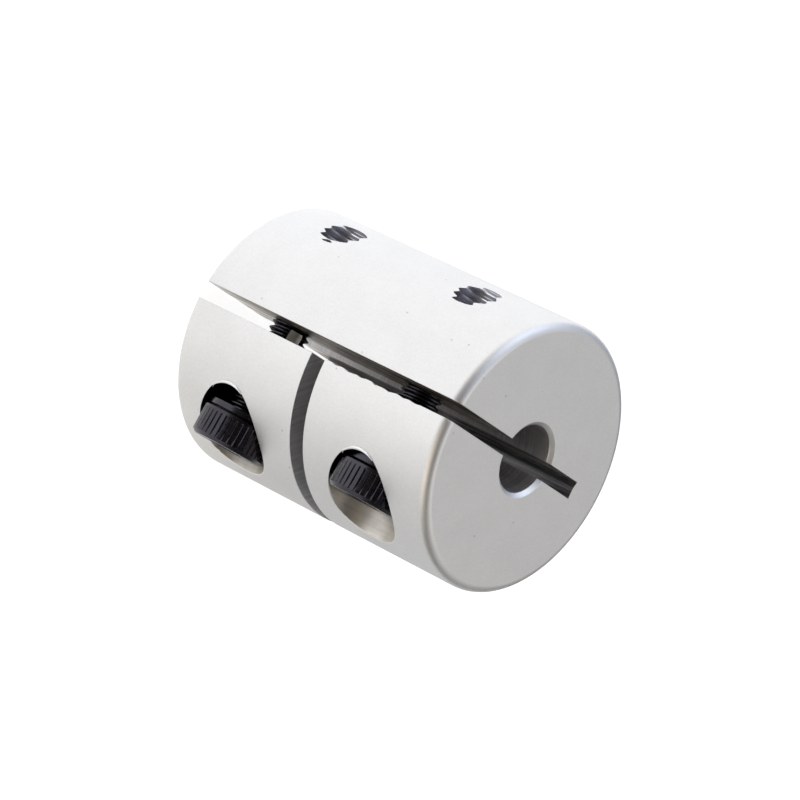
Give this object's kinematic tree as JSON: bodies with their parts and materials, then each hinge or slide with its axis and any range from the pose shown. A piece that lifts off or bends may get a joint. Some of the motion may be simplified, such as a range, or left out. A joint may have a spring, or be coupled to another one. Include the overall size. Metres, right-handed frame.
{
  "type": "rigid shaft coupling",
  "caption": "Rigid one-piece clamping coupling: joins two round shafts end to end in a slit aluminium sleeve tightened by socket head cap screws.",
  "frame": {"origin": "on the shaft axis, at the lower end face that the coupling stands on", "axes": "+Z along the shaft axis; the long slot opens towards -X; the screws enter from -Y and are tapped into the jaw at +Y"},
  "size_m": [0.02, 0.02, 0.025],
  "materials": {
    "blasted_aluminium": "fine bead-blasted and clear anodised outside, bare sawn and drilled metal in the cuts",
    "black_oxide_steel": "black oxide, lightly oiled, knurled head"
  },
  "bodies": {
    "root": {"coupling_body": "blasted_aluminium", "lower_clamp_screw": "black_oxide_steel", "upper_clamp_screw": "black_oxide_steel"}
  },
  "joints": []
}
